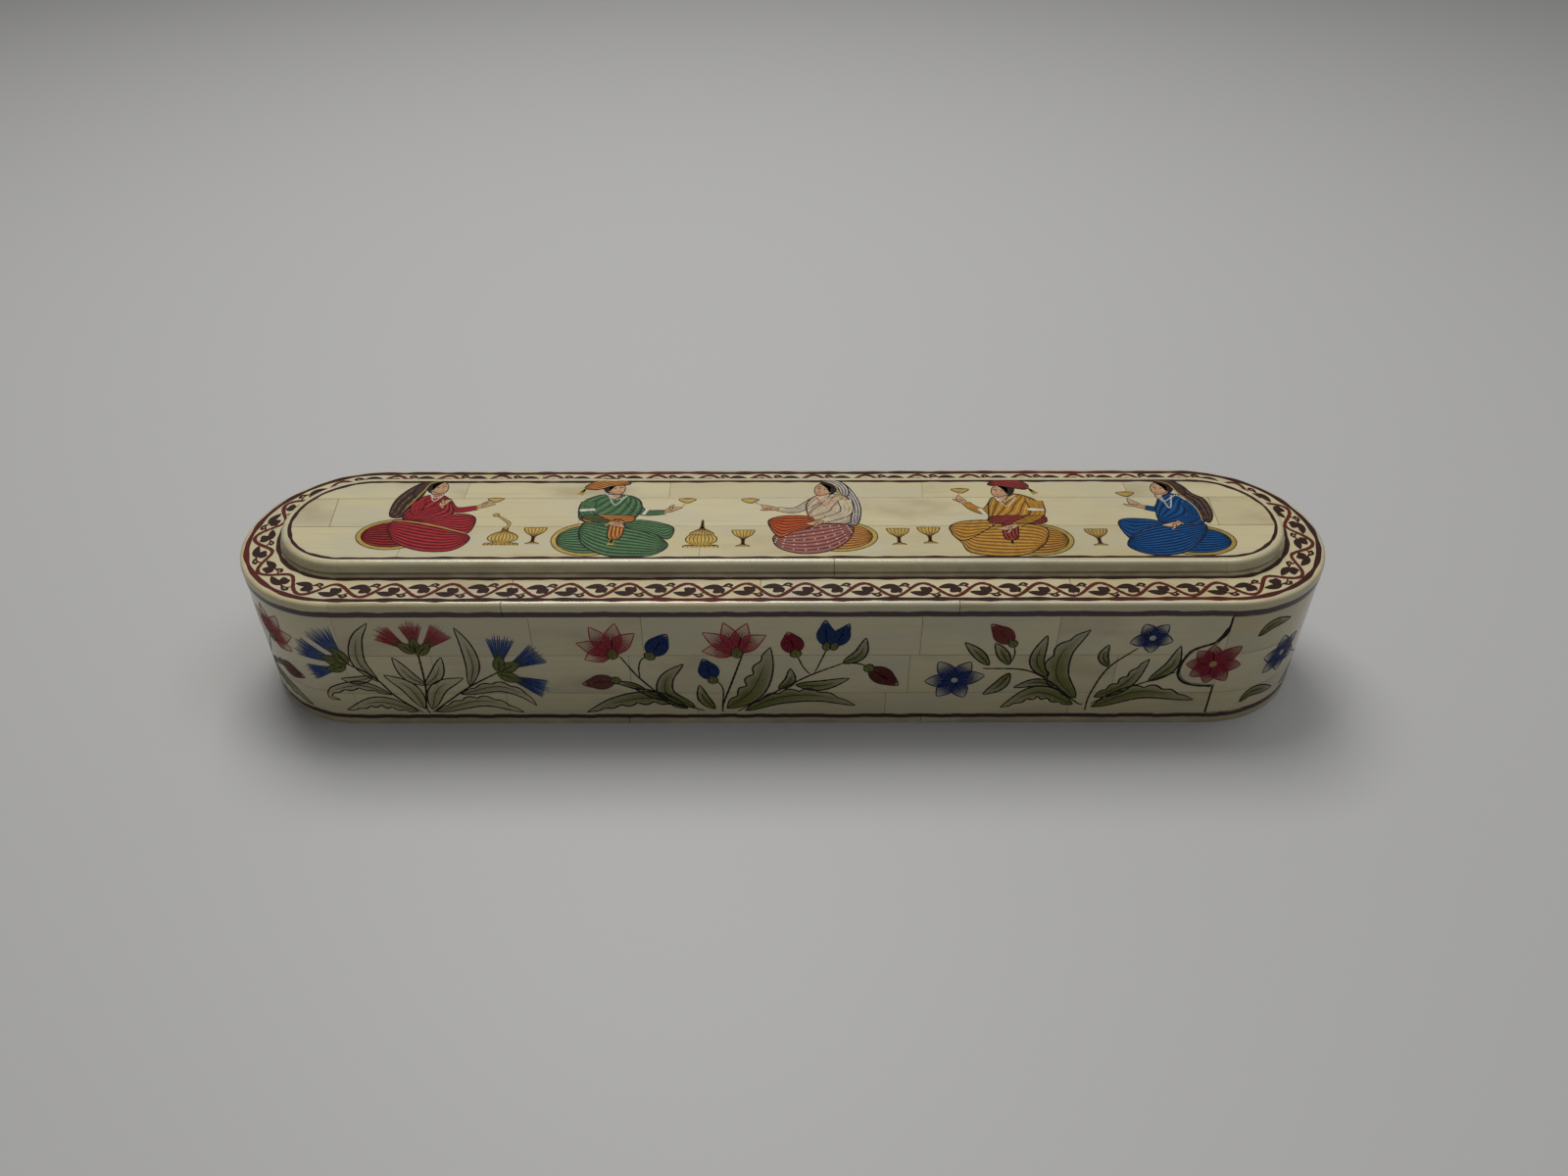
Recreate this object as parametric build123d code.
"""Long pen box with rounded ends: a wooden sleeve faced with bone tiles, and a drawer
that pulls out at the right-hand end.

Millimetres, +Z up, +X towards the end that pulls out, -Y towards the viewer.
The plan is a slot shape everywhere, so each moulding, strip and tile course is one
section, written as (radius from the spine, height), run straight along the sides and
turned half round at the ends.
"""
from build123d import *
from math import cos, degrees, radians, sin
import os

# Driving sizes of the whole box
LENGTH = 280.0
WIDTH = 60.0
RIM_TOP = 40.0            # top of the flat border round the raised panel
PANEL_TOP = 43.8          # top of the raised panel, the highest point

# Bone facing and wooden core
BONE = 1.4                # thickness of every bone strip and tile
TILE_GAP = 0.12           # open line between neighbouring tiles
SET_BACK = 0.1            # the tiles lie this much under the strips that frame them
WALL_WOOD = 2.6           # thickness of the sleeve's side boards
BASE = 3.2                # thickness of the base board and height of its edge strip
RIM_FOOT = 36.0           # underside of the top board and of the rim strip
RIM_ROUND = 1.1           # rounding of the rim's outer edge

# Tile courses on the walls and rows on the panel
LOWER_COURSE = 10.6       # height of the seam above the lower course
UPPER_COURSE = 23.5       # height of the seam under the upper course
BACK_ROW_Y = 10.3         # seam between the panel's back and middle rows
FRONT_ROW_Y = -2.6        # seam between the middle and front rows

# Raised panel, set by hand a little behind the middle
PANEL_SHIFT = 1.0
MOULDING_FOOT = 20.3      # radius from the spine to the moulding's foot
BEAD = 0.8                # radius of the bead along the foot
SHOULDER_OUT = 19.4       # radius from the spine to the moulding's upright face
SHOULDER = 1.2            # rounding of the moulding's upper edge
PANEL_CORE = 17.6         # radius where the moulding meets the tiles

# Drawer
SEAM = 0.25               # saw cut between the drawer's nose and the sleeve
FLOOR_CLEAR = 0.05        # the drawer floor slides on the base board
SIDE_CLEAR = 0.2          # each side of the drawer inside the sleeve
DRAWER_WOOD = 2.2         # thickness of the drawer's sides and rear end
FLOOR_WOOD = 2.0
DRAWER_TOP = 34.5         # upper edge of the drawer's sides
DRAWER_REAR = -109.2      # rear face of the drawer
DIVIDER_X = 62.0          # pen trough on one side, ink compartment on the other
DIVIDER_TOP = 31.0

# Outline of the tongue that the nose sends back into the side wall, as (x, z)
TAB_TOP = (110.0, 31.0)
TAB_NECK = (108.0, 26.8)
TAB_LOBE = (102.3, 23.9)
TAB_TIP = (100.5, 18.4)
TAB_UNDERSIDE = (101.6, 15.4)
TAB_HEEL = (104.6, 13.8)
TAB_FOOT = (110.0, 13.3)

# Derived
OUTER = WIDTH / 2
SPINE = LENGTH / 2 - OUTER        # half-length of the straight stretch
CORE = OUTER - BONE               # radius of the wooden core
TILE_FACE = OUTER - SET_BACK      # radius of the tiled walls
PANEL_FACE = PANEL_TOP - SET_BACK
SLEEVE_INSIDE = CORE - WALL_WOOD
NOSE_FOOT = BASE + SEAM
NOSE_TOP = RIM_FOOT - SEAM

# Joints between tiles, as X positions, from the left end to the right end
FRONT_JOINTS = {
    "lower": (-71.0, -22.0, 26.5, 74.0),
    "middle": (-88.0, -38.5, 32.0, 84.0),
    "upper": (-62.0, -34.5, 34.3, 68.0),
}
BACK_JOINTS = {
    "lower": (-60.0, 4.0, 58.0),
    "middle": (-84.0, -20.0, 41.0, 92.0),
    "upper": (-49.0, 12.0, 73.0),
}
# On the panel a joint may lean: its X at the row's back edge, then at its front edge
BACK_ROW_JOINTS = ((-84.0, -84.6), (-30.6, -30.0), (38.0, 37.4), (92.0, 92.0))
MIDDLE_ROW_JOINTS = ((-117.9, -116.6), (-52.0, -52.8), (9.0, 9.0), (66.0, 67.0), (113.0, 112.4))
FRONT_ROW_JOINTS = ((-96.0, -96.0), (-21.0, -20.2), (47.0, 47.0), (101.0, 100.2))
RIM_JOINTS = (-68.0, 43.0)
BORDER_JOINTS = (-66.5, -5.3, 71.0)
MOULDING_JOINTS = (12.9,)
BASE_JOINTS = (-40.0, 36.0)


def save(name, solids):
    """Write one node, a group of closed solids, to parts/name.step."""
    part = Compound(label=name, children=list(solids))
    export_step(part, f"parts/{name}.step")
    print(f"{name}: {len(part.solids())} solids, {part.volume:.0f} mm3")


def section(points):
    """A closed face in the XZ plane through the points, X being the radius."""
    return Plane.XZ * make_face(Polyline(points, close=True))


def block_section(r_in, r_out, z_low, z_high):
    """A plain rectangular section."""
    return section([(r_in, z_low), (r_out, z_low), (r_out, z_high), (r_in, z_high)])


def rounding(centre, radius, start, stop, cuts):
    """Points along an arc, start and stop in degrees: a rounding planed in a few cuts."""
    angles = [radians(start + (stop - start) * i / cuts) for i in range(cuts + 1)]
    return [(centre[0] + radius * cos(a), centre[1] + radius * sin(a)) for a in angles]


def straight(face, side, x_low, x_high, shift=0.0):
    """Carry a section along X. Side -1 is the front, +1 the back."""
    placed = Pos(x_low, shift, 0) * Rot(0, 0, 90 * side) * face
    return extrude(placed, amount=x_high - x_low, dir=(1, 0, 0)).solid()


def turned(face, end, shift=0.0, start=0.0, sweep=180.0):
    """Turn a section round one end. End +1 is the right end, -1 the left end.

    Start and sweep are in degrees, counted anticlockwise from above."""
    begin = start - 90 if end > 0 else start + 90
    arc = revolve(Rot(0, 0, begin) * face, axis=Axis.Z, revolution_arc=sweep)
    return (Pos(end * SPINE, shift, 0) * arc).solid()


def run_of_pieces(face, side, joints, shift=0.0, x_low=-SPINE, x_high=SPINE):
    """Straight pieces of one section, parted by a thin gap at each joint."""
    starts = [x_low] + [x + TILE_GAP / 2 for x in joints]
    stops = [x - TILE_GAP / 2 for x in joints] + [x_high]
    return [straight(face, side, a, b, shift) for a, b in zip(starts, stops)]


def end_pieces(face, end, cuts, shift=0.0):
    """Curved pieces of one section round an end, parted at the angles in cuts."""
    half = degrees(TILE_GAP / 2 / OUTER)
    starts = [half] + [a + half for a in cuts]
    stops = [a - half for a in cuts] + [180 - half]
    return [turned(face, end, shift, a, b - a) for a, b in zip(starts, stops)]


def slot(radius, z_low, z_high, shift=0.0):
    """A solid with the box's slot-shaped plan at the given radius."""
    plan = Pos(0, shift, z_low) * SlotOverall(2 * (SPINE + radius), 2 * radius)
    return extrude(plan, amount=z_high - z_low)


def board(x_low, x_high, y_low, y_high, z_low, z_high):
    """A plain board between two corners."""
    size = (x_high - x_low, y_high - y_low, z_high - z_low)
    corner = Align.MIN, Align.MIN, Align.MIN
    return (Pos(x_low, y_low, z_low) * Box(*size, align=corner)).solid()


def half_round(end, radius, z_low, z_high):
    """Half a disc standing at one end of the spine."""
    return turned(block_section(0, radius, z_low, z_high), end)


def tab_outline():
    """The tongue as a closed outline: a short slope, a round lobe and a level lower edge."""
    return Curve() + [
        Line(TAB_TOP, TAB_NECK),
        ThreePointArc(TAB_NECK, TAB_LOBE, TAB_TIP),
        ThreePointArc(TAB_TIP, TAB_UNDERSIDE, TAB_HEEL),
        Line(TAB_HEEL, TAB_FOOT),
        Line(TAB_FOOT, TAB_TOP),
    ]


def tab(side, r_in, r_out, grow=0.0):
    """The tongue as a solid between two radii on one side, grown by the saw cut."""
    outline = make_face(tab_outline())
    if grow:
        outline = offset(outline, amount=grow, kind=Kind.INTERSECTION)
    y_far = side * r_out
    face = Pos(0, y_far, 0) * (Plane.XZ * outline)
    return extrude(face, amount=r_out - r_in, dir=(0, -side, 0))


def wall_pieces(solids, side):
    """Sleeve wall pieces with the notch for the drawer's tongue cut out of them."""
    notch = tab(side, SLEEVE_INSIDE - 1, OUTER + 1, SEAM)
    kept = []
    for piece in solids:
        kept += (piece - notch).solids()
    return kept


def tile_row(y_front, y_back, joints):
    """One row of panel tiles, cut to the panel's slot-shaped plan."""
    reach = SPINE + OUTER
    lines = [(-reach, -reach)] + list(joints) + [(reach, reach)]
    plan = slot(PANEL_CORE, PANEL_TOP - BONE, PANEL_FACE, PANEL_SHIFT)
    half = TILE_GAP / 2
    tiles = []
    for (back_a, front_a), (back_b, front_b) in zip(lines, lines[1:]):
        corners = [
            (front_a + half, y_front + half),
            (front_b - half, y_front + half),
            (back_b - half, y_back - half),
            (back_a + half, y_back - half),
        ]
        blank = Pos(0, 0, PANEL_TOP - BONE) * make_face(Polyline(corners, close=True))
        tiles += (extrude(blank, amount=BONE) & plan).solids()
    return tiles


def courses(r_in, r_out, foot, top):
    """The three tile courses of a wall as rectangular sections."""
    edges = {"lower": (foot, LOWER_COURSE), "middle": (LOWER_COURSE, UPPER_COURSE),
             "upper": (UPPER_COURSE, top)}
    half = TILE_GAP / 2
    sections = {}
    for name, (z_low, z_high) in edges.items():
        low = z_low if name == "lower" else z_low + half
        high = z_high if name == "upper" else z_high - half
        sections[name] = block_section(r_in, r_out, low, high)
    return sections


def base():
    """Base board with its bone edge strip."""
    save("base_board", [slot(CORE, 0, BASE).solid()])
    face = block_section(CORE, OUTER, 0, BASE)
    save("base_strip_front", run_of_pieces(face, -1, BASE_JOINTS))
    save("base_strip_back", run_of_pieces(face, 1, BASE_JOINTS))
    save("base_strip_left_end", [turned(face, -1)])
    save("base_strip_right_end", [turned(face, 1)])


def sleeve():
    """Side boards, left end block and their bone tiles."""
    wall = block_section(SLEEVE_INSIDE, CORE, BASE, RIM_FOOT)
    stop = SPINE - SEAM
    for side, name, joints in ((-1, "front", FRONT_JOINTS), (1, "back", BACK_JOINTS)):
        plank = straight(wall, side, -SPINE, stop)
        save(f"{name}_wall", wall_pieces([plank], side))
        tiles = []
        for course, face in courses(CORE, TILE_FACE, BASE, RIM_FOOT).items():
            tiles += run_of_pieces(face, side, joints[course], x_high=stop)
        save(f"{name}_tiles", wall_pieces(tiles, side))
    save("left_end_block", [half_round(-1, CORE, BASE, RIM_FOOT)])
    cuts = {"lower": (74.0,), "middle": (38.0, 128.0), "upper": (96.0,)}
    tiles = []
    for course, face in courses(CORE, TILE_FACE, BASE, RIM_FOOT).items():
        tiles += end_pieces(face, -1, cuts[course])
    save("left_end_tiles", tiles)


def rim_section():
    """Edge strip of the top with its outer corner rounded over."""
    centre = (OUTER - RIM_ROUND, RIM_TOP - RIM_ROUND)
    foot = [(CORE, RIM_TOP), (CORE, RIM_FOOT), (OUTER, RIM_FOOT)]
    return section(foot + rounding(centre, RIM_ROUND, 0, 90, 3))


def moulding_section():
    """Panel moulding: foot bead, hollow rising face, rounded shoulder, flat top."""
    inner = [(PANEL_CORE, PANEL_TOP), (PANEL_CORE, RIM_TOP)]
    bead = rounding((MOULDING_FOOT - BEAD, RIM_TOP), BEAD, 0, 90, 2)
    shoulder_centre = (SHOULDER_OUT - SHOULDER, PANEL_TOP - SHOULDER)
    shoulder = rounding(shoulder_centre, SHOULDER, 0, 90, 3)
    hollow_radius = shoulder_centre[1] - RIM_TOP - BEAD
    hollow_centre = (SHOULDER_OUT + hollow_radius, shoulder_centre[1])
    hollow = rounding(hollow_centre, hollow_radius, 270, 180, 2)
    return section(inner + bead + hollow[1:-1] + shoulder)


def top():
    """Top board, rim strip, flat border plates, moulding and tiled panel."""
    save("top_board", [slot(CORE, RIM_FOOT, RIM_TOP - BONE).solid()])
    core = slot(PANEL_CORE, RIM_TOP - BONE, PANEL_TOP - BONE, PANEL_SHIFT)
    save("panel_board", [core.solid()])
    rim = rim_section()
    plate = block_section(PANEL_CORE - 2, CORE, RIM_TOP - BONE, RIM_TOP)
    ogee = moulding_section()
    for side, name in ((-1, "front"), (1, "back")):
        save(f"rim_{name}", run_of_pieces(rim, side, RIM_JOINTS))
        plates = run_of_pieces(plate, side, BORDER_JOINTS)
        save(f"border_{name}", [(p - core).solid() for p in plates])
        save(f"moulding_{name}", run_of_pieces(ogee, side, MOULDING_JOINTS, PANEL_SHIFT))
    for end, name in ((-1, "left_end"), (1, "right_end")):
        save(f"rim_{name}", [turned(rim, end)])
        save(f"border_{name}", [(turned(plate, end) - core).solid()])
        save(f"moulding_{name}", [turned(ogee, end, PANEL_SHIFT)])
    front_edge, back_edge = PANEL_SHIFT - OUTER, PANEL_SHIFT + OUTER
    save("panel_tiles_back_row", tile_row(BACK_ROW_Y, back_edge, BACK_ROW_JOINTS))
    save("panel_tiles_middle_row", tile_row(FRONT_ROW_Y, BACK_ROW_Y, MIDDLE_ROW_JOINTS))
    save("panel_tiles_front_row", tile_row(front_edge, FRONT_ROW_Y, FRONT_ROW_JOINTS))


def nose():
    """The drawer's rounded front: wooden block, tongues and their bone facing."""
    save("nose_block", [half_round(1, CORE, NOSE_FOOT, NOSE_TOP)])
    cuts = {"lower": (62.0, 121.0), "middle": (47.0, 104.0, 150.0), "upper": (85.0,)}
    tiles = []
    for course, face in courses(CORE, TILE_FACE, NOSE_FOOT, NOSE_TOP).items():
        tiles += end_pieces(face, 1, cuts[course])
    save("nose_tiles", tiles)
    drawer_side = SLEEVE_INSIDE - SIDE_CLEAR
    for side, name in ((-1, "front"), (1, "back")):
        save(f"{name}_tab", [tab(side, drawer_side, CORE).solid()])
        save(f"{name}_tab_tile", [tab(side, CORE, TILE_FACE).solid()])


def drawer():
    """The drawer box behind the nose: floor, sides, rear end and divider."""
    half = SLEEVE_INSIDE - SIDE_CLEAR
    inside = half - DRAWER_WOOD
    floor_low = BASE + FLOOR_CLEAR
    floor_top = floor_low + FLOOR_WOOD
    save("drawer_floor", [board(DRAWER_REAR, SPINE, -half, half, floor_low, floor_top)])
    save("drawer_front_side", [board(DRAWER_REAR, SPINE, -half, -inside, floor_top, DRAWER_TOP)])
    save("drawer_back_side", [board(DRAWER_REAR, SPINE, inside, half, floor_top, DRAWER_TOP)])
    rear_inner = DRAWER_REAR + DRAWER_WOOD
    save("drawer_rear_end", [board(DRAWER_REAR, rear_inner, -inside, inside, floor_top, DRAWER_TOP)])
    divider_far = DIVIDER_X + DRAWER_WOOD
    save("drawer_divider", [board(DIVIDER_X, divider_far, -inside, inside, floor_top, DIVIDER_TOP)])


os.makedirs("parts", exist_ok=True)
base()
sleeve()
top()
nose()
drawer()
